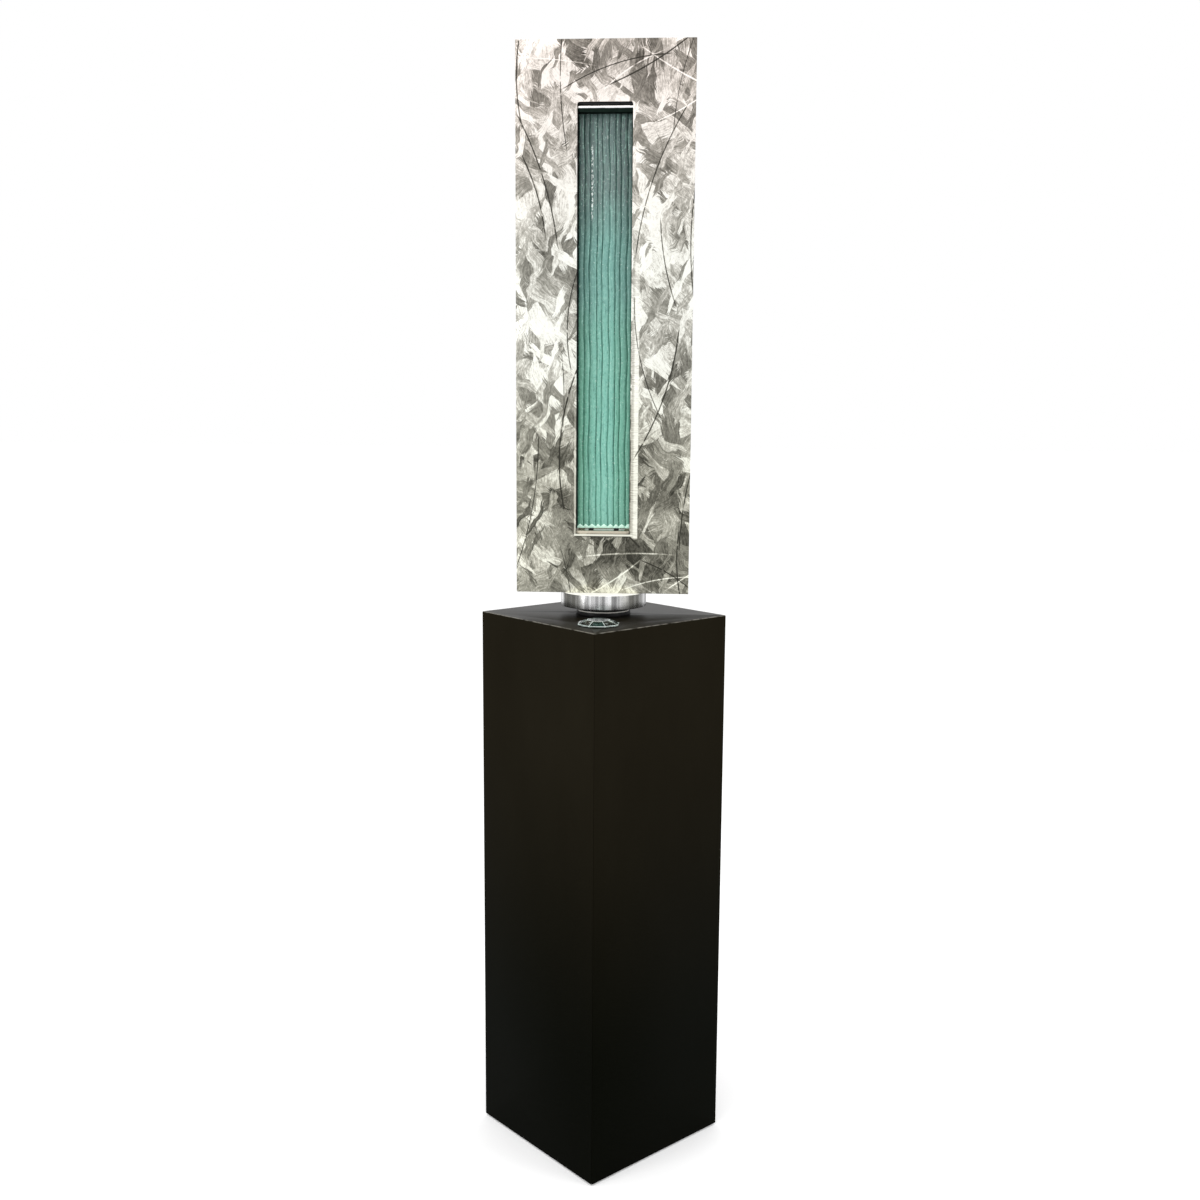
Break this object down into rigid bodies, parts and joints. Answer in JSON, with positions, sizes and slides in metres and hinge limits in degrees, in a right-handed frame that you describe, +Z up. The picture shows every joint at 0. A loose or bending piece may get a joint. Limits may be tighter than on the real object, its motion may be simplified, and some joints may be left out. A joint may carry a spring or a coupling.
{
  "type": "water wall fountain",
  "caption": "Free-standing water wall fountain: reeded glass in a swivelling metal head on a square black plinth with tank, pump, service door and glass stopper.",
  "frame": {"origin": "on the floor under the middle of the plinth", "axes": "+Z up, -Y towards the front (the polished face of the head), +X to the viewer's right; one corner of the plinth points along -Y"},
  "size_m": [0.431, 0.431, 1.9155],
  "materials": {
    "black_paint": "satin black lacquer on board",
    "black_board": "matt black board",
    "ground_aluminium": "ground in swirling patches and sealed",
    "turned_aluminium": "lathe turned",
    "folded_aluminium": "satin mill finish",
    "chrome": "polished",
    "reeded_glass": "rippled and reeded, blue-green",
    "clear_glass": "cut and polished",
    "black_rubber": "matt",
    "white_nylon": "satin",
    "black_plastic": "fine texture",
    "grey_plastic": "satin",
    "pale_acrylic": "frosted",
    "zinc_steel": "zinc plated",
    "black_steel": "black oxide",
    "clear_hose": "milky flexible tube"
  },
  "bodies": {
    "pedestal": {"front_left_side": "black_paint", "front_right_side": "black_paint", "back_left_side": "black_paint", "plinth_top": "black_paint", "plinth_floor": "black_board", "shelf": "black_board", "glide_1": "white_nylon", "glide_2": "white_nylon", "glide_3": "white_nylon", "glide_4": "white_nylon", "hinge_fixed_leaf": "black_steel", "hinge_pin": "zinc_steel", "catch_magnet": "grey_plastic", "power_inlet": "black_plastic", "light_driver": "grey_plastic", "power_cable": "black_rubber", "light_tail": "black_rubber", "pump_lead": "black_rubber", "reservoir_tank": "grey_plastic", "fill_tube": "grey_plastic", "pump_body": "black_plastic", "pump_strainer": "black_plastic", "supply_hose": "clear_hose", "turntable_lower_ring": "black_steel", "slip_washer": "white_nylon", "thrust_washer": "white_nylon"},
    "head": {"turntable_upper_ring": "black_steel", "base_disc": "turned_aluminium", "spindle": "zinc_steel", "spindle_nut": "zinc_steel", "front_panel": "ground_aluminium", "back_panel": "ground_aluminium", "wrap_band": "folded_aluminium", "bottom_cap": "folded_aluminium", "cover_screw_1": "zinc_steel", "cover_screw_2": "zinc_steel", "cover_screw_3": "zinc_steel", "cover_screw_4": "zinc_steel", "slot_liner": "folded_aluminium", "glass_panel": "reeded_glass", "glass_seal_left": "black_rubber", "glass_seal_right": "black_rubber", "setting_block_left": "black_rubber", "setting_block_right": "black_rubber", "catch_trough": "folded_aluminium", "drain_tube": "clear_hose", "spreader_tube": "chrome", "riser_tube": "clear_hose", "light_bar": "pale_acrylic", "light_lead": "black_rubber"},
    "door": {"service_door": "black_paint", "hinge_door_leaf": "black_steel", "door_pull": "black_steel", "catch_plate": "zinc_steel"},
    "stopper": {"glass_jewel": "clear_glass", "stopper_plug": "black_rubber"},
    "impeller": {"impeller": "white_nylon"},
    "flow_dial": {"flow_dial": "grey_plastic"},
    "switch": {"rocker_switch": "black_plastic"}
  },
  "joints": [
    {"name": "head_swivel", "type": "hinge", "parent": "pedestal", "child": "head", "pos_m": [0, 0, 0.969], "axis": [0, 0, 1], "range_deg": [-90, 90], "deforming": ["supply_hose", "light_tail"]},
    {"name": "door_hinge", "type": "hinge", "parent": "pedestal", "child": "door", "pos_m": [0.01563, 0.20584, 0.47], "axis": [0, 0, 1], "range_deg": [0, 110]},
    {"name": "stopper_lift", "type": "slide", "parent": "pedestal", "child": "stopper", "axis": [0, 0, 1], "range_m": [0, 0.027]},
    {"name": "impeller_spin", "type": "hinge", "parent": "pedestal", "child": "impeller", "pos_m": [0.01344, 0.01344, 0.5946], "axis": [0.7071, -0.7071, 0], "continuous": true},
    {"name": "flow_dial_turn", "type": "hinge", "parent": "pedestal", "child": "flow_dial", "pos_m": [0.02192, 0.02192, 0.5946], "axis": [0.7071, -0.7071, 0], "range_deg": [0, 90]},
    {"name": "rocker_tip", "type": "hinge", "parent": "pedestal", "child": "switch", "pos_m": [-0.09037, 0.12077, 0.11], "axis": [0.7071, 0.7071, 0], "range_deg": [0, 14]}
  ]
}
